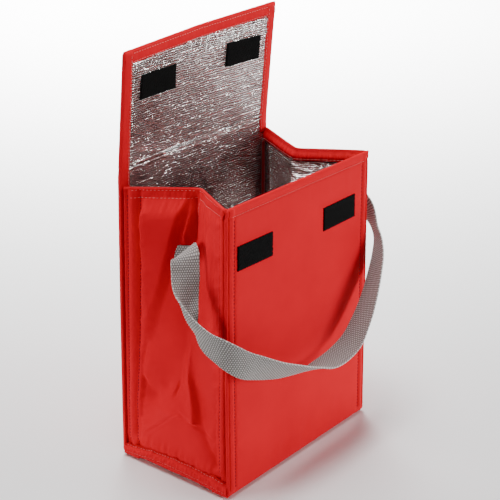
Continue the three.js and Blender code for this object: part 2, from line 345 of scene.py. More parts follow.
def ring_faces(rows, cols, start=0):
    """Faces through rings of points, capped at both ends."""
    faces = []
    for r in range(rows - 1):
        for c in range(cols):
            a = start + r * cols + c
            b = start + r * cols + (c + 1) % cols
            faces.append([a, b, b + cols, a + cols])
    faces.append([start + c for c in range(cols)][::-1])
    faces.append([start + (rows - 1) * cols + c for c in range(cols)])
    return faces


def tube(name, rings, material):
    points = rings.reshape(-1, 3)
    return make_piece(name, points, facing_out(points, ring_faces(*rings.shape[:2])), material)


def edge_roll(distance, radius):
    """How far a padded sheet's face falls back within a radius of its edge."""
    t = np.clip(1 - distance / radius, 0, 1)
    return radius * (1 - np.sqrt(np.maximum(1 - t * t, 0)))


def edge_steps(half, step, fine=6, radius=PAD / 2):
    """Places from -half to half, closer together near both ends."""
    near = half - radius * (1 - np.cos(np.linspace(0, math.pi / 2, fine)))
    inner = np.linspace(-near[-1], near[-1], int(2 * near[-1] / step) + 1)
    return np.concatenate([-near, inner[1:-1], near[::-1]])


# What a piece follows and stands for

def dress(nodes):
    """Hide the imported solids that a piece stands for, if any."""
    if nodes:
        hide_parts(*nodes)


def ride(piece, body, slot, *nodes):
    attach(piece, body)
    dress(nodes)


def bend_over_fold(piece, slot, *nodes):
    """A piece of cloth that crosses the flap's fold line."""
    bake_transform(piece)
    dress(nodes)


# Materials

class Look:
    """A node material, with short ways to add nodes to it. In names of inputs, _ stands for a space."""

    def __init__(self, name):
        self.material = bpy.data.materials.new(name)
        self.material.use_nodes = True
        self.nodes = self.material.node_tree.nodes

    def join(self, node, values):
        """Set a node's inputs, or link them where a value is another node's output."""
        for name, value in values.items():
            socket = node.inputs[name.replace("_", " ") if isinstance(name, str) else name]
            if isinstance(value, bpy.types.NodeSocket):
                self.material.node_tree.links.new(value, socket)
            else:
                socket.default_value = value

    def surface(self, **values):
        self.join(self.nodes["Principled BSDF"], values)

    def node(self, kind, **values):
        node = self.nodes.new("ShaderNode" + kind)
        self.join(node, values)
        return node

    def math(self, operation, first, second=0.0):
        node = self.node("Math")
        node.operation = operation
        self.join(node, {0: first, 1: second})
        return node.outputs[0]

    def add(self, total, *others):
        for other in others:
            total = self.math("ADD", total, other)
        return total

    def times(self, first, second):
        return self.math("MULTIPLY", first, second)

    def clipped(self, value, start, gain):
        """How far a value is above a start, times a gain, and nothing below it."""
        return self.math("MAXIMUM", self.times(self.math("SUBTRACT", value, start), gain), 0.0)

    def place(self):
        return self.node("TexCoord").outputs["Object"]

    def stretched(self, vector, scale):
        return self.node("Mapping", Vector=vector, Scale=scale).outputs["Vector"]

    def axes(self, vector):
        return self.node("SeparateXYZ", Vector=vector).outputs

    def noise(self, vector, scale, detail, roughness):
        values = {"Vector": vector, "Scale": scale, "Detail": detail, "Roughness": roughness}
        return self.node("TexNoise", **values).outputs["Fac"]

    def waves(self, direction, **values):
        node = self.node("TexWave", **values)
        node.bands_direction = direction
        return node.outputs["Fac"]

    def ramp(self, value, *stops):
        node = self.node("ValToRGB", Fac=value)
        elements = node.color_ramp.elements
        while len(elements) < len(stops):
            elements.new(0.5)
        for element, (place, colour) in zip(elements, stops):
            element.position = place
            element.color = (*colour, 1)
        return node.outputs["Color"]

    def bump(self, height, distance, strength):
        node = self.node("Bump", Height=height, Distance=distance, Strength=strength)
        self.surface(Normal=node.outputs["Normal"])


def nylon_material():
    look = Look("red_nylon")
    place = look.place()
    broad = look.noise(place, 14, 4, 0.55)
    slubs = look.noise(place, 900, 2, 0.6)
    weave = look.add(*(look.waves(axis, Vector=place, Scale=420, Distortion=0.4) for axis in "XYZ"))
    look.bump(look.add(weave, slubs), 0.00006, 0.5)
    look.surface(
        Base_Color=look.ramp(broad, (0.3, (0.59, 0.0070, 0.0165)), (0.7, (0.66, 0.0080, 0.0185))),
        Roughness=look.ramp(slubs, (0.3, (0.5, 0.5, 0.5)), (0.7, (0.62, 0.62, 0.62))),
        Specular_IOR_Level=0.015,
        Specular_Tint=(1.0, 0.42, 0.46, 1),
        Sheen_Weight=0.03,
        Sheen_Tint=(1.0, 0.2, 0.24, 1),
        Sheen_Roughness=0.4,
    )
    return look.material


def foil_tone_and_reflections(look, place, drawn, height):
    """How bright the foil's colour is: a random tone with painted reflection and glints. There is painted
    reflected light towards the top and the right, painted glints on the ripples, painted sparkle streaks
    below the top edge and along the left edge, painted sparkle specks, and painted highlight lines along the
    creases.
    """
    axes = look.axes(place)
    above = look.math("SUBTRACT", axes["Z"], FOLD_Z * MM)
    # painted reflection: brighter towards the top and the right
    painted_reflection = look.add(look.clipped(above, 0.0, 2.4), look.times(axes["X"], 1.4))
    # a random tone, with painted glints where the ripples are high
    level = look.math("SUBTRACT", look.add(painted_reflection, look.noise(place, 30, 2, 0.5), height), 0.94)
    # painted highlight streaks below the top binding
    upright = look.stretched(place, (1.0, 0.3, 0.22))
    painted_streak_glints = look.clipped(look.noise(upright, 420, 1, 0.4), 0.52, 5)
    near_top = look.clipped(axes["Z"], 0.355, 30)
    # painted sparkle along the left binding
    painted_left_glints = look.clipped(look.times(axes["X"], -1.0), 0.086, 3)
    # painted sparkle specks
    painted_sparkles = look.clipped(look.noise(drawn, 700, 1, 0.4), 0.62, 7)
    level = look.add(level, look.times(painted_streak_glints, near_top), painted_left_glints, painted_sparkles)
    # painted highlight lines along the two creases of the fold
    for crease in FOIL_CREASES:
        beside = look.math("ABSOLUTE", look.math("SUBTRACT", above, crease * MM))
        level = look.add(level, look.clipped(look.times(beside, -1.0), -0.0008, 1500))
    return level


def foil_material():
    """Rippled foil whose colour carries painted reflection: painted bright reflection towards the top and the
    right, and painted dark, warm reflection about the flap's fold.
    """
    look = Look("foil")
    place = look.place()
    drawn = look.stretched(place, (0.25, 0.35, 1.0))
    ripples = look.waves("Z", Vector=drawn, Scale=150, Distortion=5.0, Detail=2.0, Detail_Scale=1.5)
    # height bumps the ripples and also paints glints on them in the foil's tone
    height = look.add(ripples, look.times(look.noise(drawn, 1300, 2, 0.6), 0.5))
    look.bump(height, 0.0009, 1.0)
    # the dark warm stops are painted reflection of the dark room and the bag's red walls; the pale stops are
    # painted bright reflection
    stops = (
        (0.2, (0.22, 0.085, 0.08)),
        (0.45, (0.3, 0.185, 0.175)),
        (0.62, (0.5, 0.48, 0.47)),
        (0.8, (0.95, 0.94, 0.93)),
    )
    tone = foil_tone_and_reflections(look, place, drawn, height)
    look.surface(Base_Color=look.ramp(tone, *stops), Metallic=0.8, Roughness=0.13)
    return look.material


def webbing_material():
    """Woven yarn: rows along the strap, with every other row shifted, and pale firm edges. The colour follows
    the weave's relief: painted light on the raised yarns and painted shade in the hollows between them.
    """
    look = Look("webbing")
    axes = look.axes(look.node("UVMap").outputs["UV"])
    cell = 2 * math.pi / WEAVE_PITCH
    rows = look.math("COSINE", look.times(axes["Y"], cell))
    shifted = look.math("COSINE", look.times(axes["Y"], cell / 2))
    yarns = look.times(look.math("SINE", look.times(axes["X"], cell)), shifted)
    fibres = look.noise(look.place(), 2600, 2, 0.6)
    edges = look.clipped(look.math("ABSOLUTE", axes["X"]), 11.9, 0.4)
    # rows and yarns are painted light and shade of the weave, over random fibres and pale edges
    shaded_weave = look.add(look.times(rows, 0.17), fibres, look.times(yarns, 0.28), edges)
    look.bump(fibres, 0.0003, 0.7)
    stops = ((0.05, (0.04, 0.036, 0.034)), (0.5, (0.24, 0.225, 0.215)), (0.95, (0.66, 0.64, 0.62)))
    look.surface(
        Base_Color=look.ramp(shaded_weave, *stops), Roughness=0.8, Specular_IOR_Level=0.25, Sheen_Weight=0.1
    )
    return look.material


def fibre_material(name, scale, detail, roughness, depth, strength, stops, **surface):
    """Short fibres: one noise for the colour and the relief."""
    look = Look(name)
    fibres = look.noise(look.place(), scale, detail, roughness)
    look.bump(fibres, depth, strength)
    look.surface(Base_Color=look.ramp(fibres, *stops), **surface)
    return look.material


def hook_and_loop_material():
    stops = ((0.35, (0.0008, 0.0008, 0.0008)), (0.75, (0.006, 0.006, 0.006)))
    surface = {"Roughness": 0.95, "Specular_IOR_Level": 0.1}
    return fibre_material("hook_and_loop", 1500, 4, 0.7, 0.0006, 0.9, stops, **surface)


def thread_material(name, dark, light):
    surface = {"Roughness": 0.6, "Specular_IOR_Level": 0.15}
    return fibre_material(name, 3000, 2, 0.5, 0.0001, 0.6, ((0.3, dark), (0.7, light)), **surface)


NYLON = nylon_material()
FOIL = foil_material()
STRAP = webbing_material()
FUZZ = hook_and_loop_material()
# dark red tape: painted shade of the bag's inside corners, which little light reaches
SHADED_TAPE = thread_material("shaded_corner_tape", (0.16, 0.002, 0.004), (0.24, 0.004, 0.007))
THREAD = thread_material("thread", (0.62, 0.09, 0.09), (0.82, 0.2, 0.2))
# a darker copy of the thread: painted shade where the stitches sink into the padded seams
SHADED_THREAD = thread_material("shaded_thread", (0.06, 0.004, 0.01), (0.14, 0.01, 0.02))


# Stitches

def stitch_rings(start, end, normal, radius):
    """One stitch as a short arched thread whose ends dip into the cloth."""
    along = end - start
    side = np.cross(normal, unit(along))
    rings = []
    for t in np.linspace(0, 1, 5):
        rise = radius * (2.0 * math.sin(math.pi * t) - 0.9)
        middle = start + along * t + normal * rise
        turns = np.linspace(0, 2 * math.pi, 6, endpoint=False)
        rings.append([middle + radius * (math.cos(a) * side + math.sin(a) * normal) for a in turns])
    return np.array(rings)


class Seams:
    """Stitches gathered into one mesh."""

    def __init__(self):
        self.points = []
        self.faces = []
        self.count = 0

    def add_line(self, line, normals, length=STITCH_LENGTH, pitch=STITCH_PITCH, radius=THREAD_RADIUS):
        line = np.asarray(line, float)
        normals = np.broadcast_to(np.asarray(normals, float), line.shape)
        along = lengths_along(line)
        for s in np.arange(0.4, along[-1] - length, pitch):
            start, end = (at_lengths(t, along, line) for t in (s, s + length))
            normal = unit(at_lengths(s, along, normals))
            self.add_stitch(stitch_rings(start, end, normal, radius))

    def add_stitch(self, rings):
        self.faces += ring_faces(*rings.shape[:2], self.count)
        self.points.append(rings.reshape(-1, 3))
        self.count += len(self.points[-1])

    def piece(self, name, material):
        return make_piece(name, np.concatenate(self.points), self.faces, material)


light_seams = Seams()
# stitches in the darker thread, whose colour is painted shade in the stitch holes
shaded_seams = Seams()
flap_seams = Seams()


# Hems and panels

def rim_rings(edge, inward, across, lift):
    """The folded rim of a wall: rings of its section, one for each point of the edge.

    The strip starts just below the rim outside, rounds it and widens into a hem inside. lift(along, a)
    raises the hem's face at a distance a below the rim."""
    arc = np.linspace(0, math.pi, 9)
    leg = np.linspace(2.2, HEM, 10)
    inner = RIM_OUT - 2 * RIM_ROUND
    hem_in = inner - (inner + WALL / 2 + 0.9) * ease(leg / 9.0)
    round_b = RIM_OUT - RIM_ROUND + RIM_ROUND * np.cos(arc)
    a = np.concatenate([[1.9], RIM_ROUND * (1 - np.sin(arc)), leg, leg[::-1], [2.4, 1.9]])
    under = (hem_in + HEM_FABRIC)[::-1]
    rings = []
    for i, along in enumerate(lengths_along(edge)):
        face = hem_in - lift(along, leg)
        b = np.concatenate([[RIM_OUT], round_b, face, under, [0.9, RIM_OUT - 0.9]])
        rings.append(edge[i] + np.outer(a, inward[i]) + np.outer(b, across[i]))
    return np.array(rings)


def bottom_path(end):
    """A wall's face from under the base round the bottom fold, as (y, z, share of relief)."""
    path = [(end * y, 0.0, 0.0) for y in np.arange(FLANGE, HALF_DEPTH - BOTTOM_FOLD, 3.0)]
    for a in np.linspace(0, math.pi / 2, 9):
        y = HALF_DEPTH - BOTTOM_FOLD * (1 - math.sin(a))
        path.append((end * y, BOTTOM_FOLD * (1 - math.cos(a)), 0.0))
    return path


def path_normals(path):
    tangent = tangents(path[:, :2])
    return np.stack([tangent[:, 1], -tangent[:, 0]], 1)


def rim_thickness(z):
    """A wall's padding gets thin under the hem."""
    return THIN_PAD + (PAD - THIN_PAD) * ease((HEIGHT - z - 1) / 10)


def panel_grids(path, normals, xs, relief, thickness):
    """Outer and inner faces of a padded panel along a path. Normals point into the wall."""
    x, i = np.meshgrid(xs, np.arange(len(path)))
    y, z = path[i, 0], path[i, 1]
    lift = relief(x, z) * path[i, 2]
    thick = thickness(x, z)
    fall = np.minimum(edge_roll(PANEL_EDGE - np.abs(x), PAD / 2), PAD / 2) * thick / PAD
    outer_in = fall - lift * np.clip(1 - fall / (thick / 2), 0, 1)
    n = normals[i]
    return [points_at(x, y + n[..., 0] * depth, z + n[..., 1] * depth) for depth in (outer_in, thick - fall)]


def front_relief(x, z):
    """How far the front stands out from its plain face."""
    inside = np.clip(1 - (x / PANEL_STITCH_X) ** 2, 0, 1)
    below_hem = ease((HEM_STITCH_Z - z) / 3)
    aside = np.abs(x)
    pillow = 1.4 * np.sqrt(inside) * ease(z / 45) * ease((HEIGHT - z) / 40)
    seam = -0.8 * bell(aside - PANEL_STITCH_X, 1.2) * below_hem
    hem_seam = -0.55 * bell(z - HEM_STITCH_Z, 1.1)
    hem = 0.5 * ease((z - HEM_STITCH_Z - 0.5) / 2.5) * ease((HEIGHT - z) / 4)
    border = 0.8 * bell(aside - 99.6, 2.2) - 1.3 * bell(aside - 103.7, 0.6)
    puckers = 0.3 * gathers(z, 9, 3) * bell(aside - PANEL_STITCH_X + 5, 4)
    border_puckers = 0.25 * gathers(z, 5, 8) * bell(aside - 99.0, 2.5)
    drawn = 0.28 * gathers(x, 17, 4) * bell(z - HEM_STITCH_Z + 12, 12)
    joints = sum(bell(x - place, 0.5) for place in HEM_JOINTS)
    joint = 0.35 * joints * ease((z - HEM_STITCH_Z) / 1.5)
    broad = 0.3 * ripple(x, z, 95, 5) * inside
    low = 0.8 * gathers(x, 26, 6) * bell(z - 22, 16) * inside
    return pillow + seam + hem_seam + hem + border + puckers + border_puckers + drawn + joint + broad + low


def front_point(x, z):
    """Points on the front's outer face."""
    return points_at(x, front_face(z) - front_relief(x, z), z)


def front_path(step, fine_step):
    up = np.arange(BOTTOM_FOLD + step, HEIGHT - 20, step)
    top = np.arange(up[-1] + fine_step, HEIGHT - 0.6, fine_step)
    return np.array(bottom_path(-1) + [(front_face(z), z, 1.0) for z in np.concatenate([up, top])])


def make_front():
    path = front_path(2.5, 0.7)
    border = np.arange(94.25, 104.5, 0.5)
    xs = np.unique(np.concatenate([edge_steps(PANEL_EDGE, 2.0), -border, border]))
    normals = path_normals(path)
    outer, inner = panel_grids(path, normals, xs, front_relief, lambda x, z: rim_thickness(z))
    piece = slab("front_panel", outer, inner, NYLON)
    ride(piece, "bag", "red_nylon", "front_outer", "front_foam", "front_welt_left", "front_welt_right")
    z = np.arange(8, HEM_STITCH_Z - 1, 1.5)
    for _, side in SIDES:
        shaded_seams.add_line(front_point(side * PANEL_STITCH_X, z), (0, -1, 0))
    x = np.arange(-PANEL_STITCH_X - 4, PANEL_STITCH_X + 4.1, 1.5)
    light_seams.add_line(front_point(x, HEM_STITCH_Z), (0, -1, 0))


def make_front_hem():
    x = np.linspace(-PANEL_EDGE + 0.3, PANEL_EDGE - 0.3, 170)
    edge = points_at(x, front_face(HEIGHT) + WALL / 2, HEIGHT)
    down = np.tile([0, 0, -1.0], (len(x), 1))
    forward = np.tile([0, -1.0, 0], (len(x), 1))

    def lift(along, a):
        return 0.45 * gathers(along, 7, 12) * bell(a - 6, 3) - 0.3 * bell(a - 9, 0.9)

    ride(tube("front_hem", rim_rings(edge, down, forward, lift), NYLON), "bag", "red_nylon", "front_hem")


# Back panel and flap

def flap_point(length, depth):
    """A point of the flap's section, a length up from the fold line and a depth behind its middle."""
    y = FOLD_Y - length * math.sin(FLAP_LEAN) + depth * math.cos(FLAP_LEAN)
    z = FOLD_Z + length * math.cos(FLAP_LEAN) + depth * math.sin(FLAP_LEAN)
    return y, z


def flap_bow(x, z):
    """The flap's free edge bows back in the middle, and a soft fold runs down beside its middle."""
    up = ease((z - FOLD_Z) / FLAP_LENGTH)
    return 4.0 * up * (1 - (x / HALF_WIDTH) ** 2) + 1.3 * up * bell(x - 2, 26)


def flap_reach(x, z):
    """Distances from a place on the flap to its nearer side edge and to its free edge."""
    return PANEL_EDGE - np.abs(x), FLAP_LENGTH - (z - FOLD_Z) / math.cos(FLAP_LEAN)


def past_fold(z):
    return ease((z - FOLD_Z + 4) / 12)


def flap_thin(x, z):
    """How far each face of the flap draws in towards its middle near the edges."""
    return (1 - ease(np.minimum(*flap_reach(x, z)) / 10)) * past_fold(z)


def back_relief(x, z):
    """How far the back and the flap stand out. The flap stays flat under its bindings."""
    inside = np.clip(1 - (x / PANEL_STITCH_X) ** 2, 0, 1)
    aside = np.abs(x)
    unbound = 1 - past_fold(z) * (1 - ease((np.minimum(*flap_reach(x, z)) - 12.5) / 8))
    pillow = 2.2 * np.sqrt(inside) * ease(z / 45) * ease((FOLD_Z - 4 - z) / 35)
    flap = np.sqrt(inside) * ease((z - FOLD_Z - 4) / 25) * unbound
    seam = -0.7 * bell(aside - PANEL_STITCH_X, 1.3) * ease((BACK_STITCH_TOP - z) / 8)
    border = 0.5 * bell(aside - 101.0, 3.0) * ease((BACK_STITCH_TOP + 6 - z) / 8)
    crease = -1.5 * bell(z - FOLD_Z, 3.0)
    puckers = 0.3 * gathers(z, 12, 23) * bell(aside - PANEL_STITCH_X + 6, 5)
    broad = 0.6 * ripple(x, z, 90, 25) * inside * unbound
    return pillow + flap + seam + border + crease + puckers + broad - flap_thin(x, z)


def back_path(step):
    up = [(back_face(z), z, 1.0) for z in np.arange(BOTTOM_FOLD + step, FOLD_Z - 3, step)]
    flap = [(*flap_point(a, WALL / 2), 1.0) for a in np.arange(2.0, FLAP_LENGTH - 1, step)]
    return np.array(bottom_path(1) + up + flap)


def make_back():
    path = back_path(2.5)
    xs = edge_steps(PANEL_EDGE - 0.6, 3.0)
    normals = -path_normals(path)
    outer, inner = panel_grids(path, normals, xs, back_relief, lambda x, z: PAD - flap_thin(x, z))
    for grid in (outer, inner):
        grid[..., 1] += flap_bow(grid[..., 0], grid[..., 2])
    piece = slab("back_and_flap_panel", outer, inner, NYLON)
    back_nodes = ("back_outer", "back_foam", "back_welt_left", "back_welt_right")
    bend_over_fold(piece, "red_nylon", *back_nodes, "flap_fold_strip", "flap_outer", "flap_foam")
    z = np.arange(8, BACK_STITCH_TOP, 1.5)
    for _, side in SIDES:
        x = side * PANEL_STITCH_X
        shaded_seams.add_line(points_at(x, back_face(z) + back_relief(x, z), z), (0, 1, 0))


# Base and lining

def foil_sheet(name, points, direction, crease, thickness=0.5):
    """A thin sheet of foil. crease lifts it along a direction, and its back stays flat."""
    direction = np.array(direction, float)
    return slab(name, points + crease[..., None] * direction, points - thickness * direction, FOIL, sharp=180)


def make_base():
    half_x = HALF_WIDTH - 1.0
    half_y = HALF_DEPTH - 7.0
    x, y = np.meshgrid(edge_steps(half_x, 4.0), edge_steps(half_y, 4.0))
    roll = edge_roll(np.minimum(half_x - np.abs(x), half_y - np.abs(y)), 1.2)
    sag = 0.1 * ripple(x, y, 60, 51) * (roll < 0.01)
    piece = slab("base_panel", points_at(x, y, 0.75 + roll - sag), points_at(x, y, 3.3 - roll), NYLON)
    ride(piece, "bag", "red_nylon", "base_outer", "base_foam")
    x, y = np.meshgrid(np.linspace(-99.8, 99.8, 100), np.linspace(-61, 61, 62))
    lift = 0.8 * crinkle(x, y, 52, 0.9)
    ride(foil_sheet("base_lining", points_at(x, y, LINING), (0, 0, 1), lift), "bag", "foil", "base_liner")


def make_front_lining():
    x, z = np.meshgrid(np.linspace(-99.5, 99.5, 120), np.arange(LINING_FOOT, LINING_TOP, 2.0))
    lift = 0.6 * crinkle(x, z, 31) * ease((z - 5) / 6) * ease((HEIGHT - HEM - z) / 4)
    piece = foil_sheet("front_lining", points_at(x, front_face(z) + LINING, z), (0, 1, 0), lift)
    ride(piece, "bag", "foil", "front_liner")


def back_lining_path(low_step, step, fold_step):
    """The lining's (y, z) up the back and the flap, in finer steps higher up and about the fold."""
    low = np.arange(LINING_FOOT, 140.0, low_step)
    high = np.arange(140.0, FOLD_Z - 8, step)
    below_fold = np.arange(high[-1] + fold_step, FOLD_Z - 0.5, fold_step)
    up = [(back_face(z) - LINING, z) for z in np.concatenate([low, high, below_fold])]
    above_fold = np.arange(fold_step, 8.0, fold_step)
    lengths = np.concatenate([above_fold, np.arange(8.0 + fold_step, FLAP_LENGTH - 4, step)])
    return np.array(up + [flap_point(a, -WALL / 2 + 0.1) for a in lengths])


def fold_creases(z):
    """The two raised creases where the lining bends with the flap."""
    return sum(1.6 * bell(z - FOLD_Z - crease, 0.5) for crease in FOIL_CREASES)


def back_lining_lift(x, z):
    """The lining's creases, drawn by the seams of the flap's bindings and flat under the bindings."""
    beside, above = flap_reach(x, z)
    beside = beside - np.where(x < 0, FLAP_SIDE_BINDINGS[-1], FLAP_SIDE_BINDINGS[1])
    above = above - FLAP_TOP_BINDING
    free = ease(beside / 2) * ease(above / 1.5)
    free = 1 - ease((z - FOLD_Z + 17) / 5) * (1 - free)
    plain = 0.5 * crinkle(x, z, 41, 0.4) * (1 - 0.8 * bell(z - FOLD_Z, 6))
    pulled = crinkle(z, x, 43, 0.5) * bell(above - 5, 10)
    pulled = pulled + 0.7 * crinkle(z, x, 47, 0.5) * bell(above - 8, 14) * ease((x - 55) / 30)
    drawn = crinkle(x, z, 45, 0.8) * bell(beside - 4, 8) * ease((z - FOLD_Z + 6) / 10)
    creases = fold_creases(z + 0.25 * ripple(x, z, 30, 44))
    return (plain + 1.3 * pulled + 0.8 * drawn + 1.4 * creases) * ease((z - 5) / 6) * free


def make_back_lining():
    path = back_lining_path(2.5, 1.1, 0.4)
    x, i = np.meshgrid(np.linspace(-101.5, 101.5, 190), np.arange(len(path)))
    y, z = path[i, 0], path[i, 1]
    points = points_at(x, y + flap_bow(x, z) + flap_thin(x, z), z)
    piece = foil_sheet("back_and_flap_lining", points, (0, -1, 0), back_lining_lift(x, z))
    bend_over_fold(piece, "foil", "back_liner", "flap_liner")


# Gussets

def off_line(y, z, *line):
    """Distance behind a line that runs up the gusset, given as (y, z) points from low to high."""
    depths, heights = zip(*line)
    return y - np.interp(z, heights, depths)


def rear_folds(y, z):
    """The folds of the side's rear half, standing out from the plain inward fold."""
    below_hem = ease((HEIGHT - 6 - z) / 22)
    behind = off_line(y, z, (44, 95), (39, 105), (29, 136), (20.5, 176), (12, 215), (5.5, 245), (3, 266))
    reach = np.interp(z, [95, 140, 200, 250], [13, 12, 8, 6.5])
    step = np.interp(z, [95, 140, 200, 240], [1.5, 3.0, 6.0, 9.5]) * ease((behind + 1) / reach)
    step = step * ease((z - 88) / 40) * below_hem
    pleat = two_sided(off_line(y, z, (7.5, 212), (5, 232), (1.5, 250), (0.5, 268)), 2.4, 2.0)
    pleat = 4.5 * pleat * ease((z - 219) / 13) * (0.3 + 0.7 * below_hem)
    second_pleat = 1.4 * bell(y + 2.4, 0.9) * between(z, 244, 292, 14)
    pit = -6.0 * bell(y + 0.5, 3.0) * between(z, 212, 276, 16)
    ridge = 1.1 * bell(off_line(y, z, (45, 160), (43, 262)), 6) * between(z, 150, 262, 30)
    dimples = -2.4 * bell(y - 46, 5.5) * bell(z - 201, 8) - 2.4 * bell(y - 48, 5.5) * bell(z - 111, 8)
    bend = -2.2 * peak(off_line(y, z, (36, 76), (44, 94), (37.3, 123)), 7, 2.0) * between(z, 70, 134, 16)
    hollow = -3.0 * bell(y - 30, 12) * bell(z - 72, 9) - 2.0 * bell(y - 15, 7) * bell(z - 86, 7)
    nick = -2.2 * bell(off_line(y, z, (6, 72), (1, 92)), 1.6) * between(z, 74, 96, 8)
    return step + pleat + second_pleat + pit + ridge + dimples + bend + hollow + nick


def fore_folds(y, z):
    """The folds of the side's front half."""
    finger = 6.5 * peak(off_line(y, z, (-26, 60), (-19.5, 80), (-13, 97), (-6, 150)), 8.0, 3.0)
    finger = finger * ease((z - 60) / 5) * ease((140 - z) / 45)
    groove = -5.0 * peak(off_line(y, z, (-56, 17), (-36, 52), (-24, 78), (-17, 98)), 6.0, 18)
    groove = groove * between(z, 8, 116, 30)
    ridge = 1.8 * peak(off_line(y, z, (-30, 190), (-28.6, 224), (-26, 246), (-21, 266)), 3, 6)
    ridge = ridge * between(z, 180, 285, 25)
    shade = -2.0 * two_sided(off_line(y, z, (-46, 130), (-38, 242)), 4, 7) * between(z, 110, 255, 40)
    return finger + groove + ridge + shade


def corner_fold(y, z):
    """The side above the creases that run from the bottom corners up to the apex leans in."""
    behind = y - CREASE_Y
    rise = CREASE_TOP - np.where(behind > 0, behind * 0.87, -behind * 0.4)
    lean = -0.24 * soft_ramp(z - rise, 1.0) * (1 - ease((z - 56) / 50)) * ease((57 - np.abs(y)) / 34)
    crease = -1.1 * bell(z - rise, 1.4) * ease((46 - np.abs(behind)) / 12)
    return lean + crease


def gusset_seams(rear, fore, z):
    """The dents along a side's rows of stitches."""
    dents = sum(1.3 * bell(rear - place, 1.3) for place in REAR_STITCHES)
    dents = dents + 1.2 * bell(fore - FORE_STITCH, 1.1)
    return -dents - sum(0.45 * bell(HEIGHT - drop - z, 0.9) for drop in RIM_STITCHES)


def gusset_relief(y, z, side):
    """How far a side stands out from the plain inward fold."""
    rear = gusset_edge(z) - y
    fore = gusset_edge(z) + y
    seed = 60 if side < 0 else 80
    strength = 1.0 if side < 0 else 0.8
    bands = 1.9 * bell(rear - 8.5, 3.4) + 1.2 * bell(fore - 3.4, 2.4)
    field = ease((rear - 15) / 9) * ease((fore - 8) / 9)
    pillow = 1.8 * field * ease((HEIGHT - 9 - z) / 14)
    folds = rear_folds(y, z) + fore_folds(y, z) + corner_fold(y, z)
    folds = strength * folds * ease((rear - 14) / 6) * ease((fore - 7) / 5)
    near_band = bell(rear - 19, 6) + bell(fore - 11, 5)
    puckers = 1.2 * (gathers(z + 0.4 * y, 15, seed) - 0.5) * near_band * ease((z - 20) / 6)
    band_puckers = 0.4 * gathers(z, 5.5, seed + 5) * (bell(rear - 8.5, 4) + bell(fore - 3.5, 3))
    top = (gathers(y, 7.5, seed + 1) - 0.4) * (0.4 + 1.3 * bell(y - 4, 14))
    top = top * (bell(z - 259, 6) + 0.8 * bell(z - 269, 3))
    low = 1.4 * (gathers(y + 0.2 * z, 11, seed + 2) - 0.4) * bell(z - 23, 7) - 1.6 * ease((24 - z) / 8)
    broad = 0.7 * ripple(y, z, 44, seed + 3) * field
    return gusset_seams(rear, fore, z) + bands + pillow + folds + puckers + band_puckers + top + low + broad


def gusset_outside(side, y, z):
    return points_at(side * (HALF_WIDTH - inset(y, z) + gusset_relief(y, z, side)), y, z)


def make_gusset(name, side):
    share = edge_steps(1.0, 0.9 / GUSSET_SPAN, radius=PAD / 2 / GUSSET_SPAN)
    share, z = np.meshgrid(share, np.arange(GUSSET_FOOT, GUSSET_TOP + 0.01, 1.5))
    y = share * gusset_edge(z)
    roll = edge_roll((1 - np.abs(share)) * GUSSET_SPAN, PAD / 2)
    relief = gusset_relief(y, z, side) * (1 - roll / (PAD / 2))
    thick = rim_thickness(z)
    fall = roll * thick / PAD
    plain = HALF_WIDTH - inset(y, z)
    outer = points_at(side * (plain - fall + relief), y, z)
    inner = points_at(side * (plain - thick + np.minimum(relief, 0) + fall), y, z)
    piece = slab(name + "_gusset", outer, inner, NYLON)
    ride(piece, "bag", "red_nylon", name + "_gusset_outer", name + "_gusset_foam")


def sew_gusset(side):
    normal = (side, 0, 0)
    z = np.arange(16, HEIGHT - 4, 1.5)
    edge = gusset_edge(z)
    for y in (*(edge - place for place in REAR_STITCHES), FORE_STITCH - edge):
        shaded_seams.add_line(gusset_outside(side, y, z), normal)
    z = np.arange(224, HEIGHT - HEM, 1.5)
    valley = gusset_outside(side, valley_y(z), z)
    light_seams.add_line(valley, normal, length=1.6, pitch=3.2, radius=0.22)
    for drop in RIM_STITCHES:
        reach = gusset_edge(HEIGHT - drop) - 4
        y = np.arange(-reach, reach, 1.2)
        light_seams.add_line(gusset_outside(side, y, HEIGHT - drop), normal)


def rim_curve(side, count):
    """The middle of the gusset's wall along the rim, from back to front."""
    edge = gusset_edge(HEIGHT)
    y = np.linspace(edge + 0.3, -edge - 3.0, count)
    return points_at(side * (HALF_WIDTH - inset(y, HEIGHT) - WALL / 2), y, HEIGHT)


def make_gusset_hem(name, side):
    edge = rim_curve(side, 120)
    across = np.cross(tangents(edge), [0, 0, 1.0])
    across *= np.sign(across[:, :1] * side)
    down = np.tile([0, 0, -1.0], (len(edge), 1))
    seed = 90 if side < 0 else 95

    def lift(along, a):
        seams = 0.3 * bell(a - 3, 0.8) + 0.3 * bell(a - HEM_INSIDE_STITCH, 0.9)
        return 2.0 * gathers(along, 5.0, seed) ** 2 * bell(a - 6.5, 3) - seams

    piece = tube(name + "_gusset_hem", rim_rings(edge, down, across, lift), NYLON)
    ride(piece, "bag", "red_nylon", name + "_gusset_hem")
    line = edge - across * (WALL / 2 + 1.0) - [0, 0, HEM_INSIDE_STITCH]
    light_seams.add_line(line[3:-3], -across[3:-3])


def make_gusset_lining(name, side):
    share, z = np.meshgrid(np.linspace(-1, 1, 84), np.arange(LINING_FOOT, LINING_TOP, 1.8))
    y = share * (gusset_edge(z) - 0.2)
    x = HALF_WIDTH - inset(y, z) - LINING + np.minimum(gusset_relief(y, z, side), 0)
    below_hem = HEIGHT - HEM - z
    lift = 0.7 * crinkle(y, z, 71 + side, 0.6)
    lift = lift + 1.1 * gathers(y + 2 * ripple(y, z, 20, 73), 5.5, 74 + side) * bell(below_hem - 3, 8)
    lift = lift * ease(below_hem / 2.5)
    piece = foil_sheet(name + "_gusset_lining", points_at(side * x, y, z), (-side, 0, 0), lift)
    ride(piece, "bag", "foil", name + "_gusset_liner")


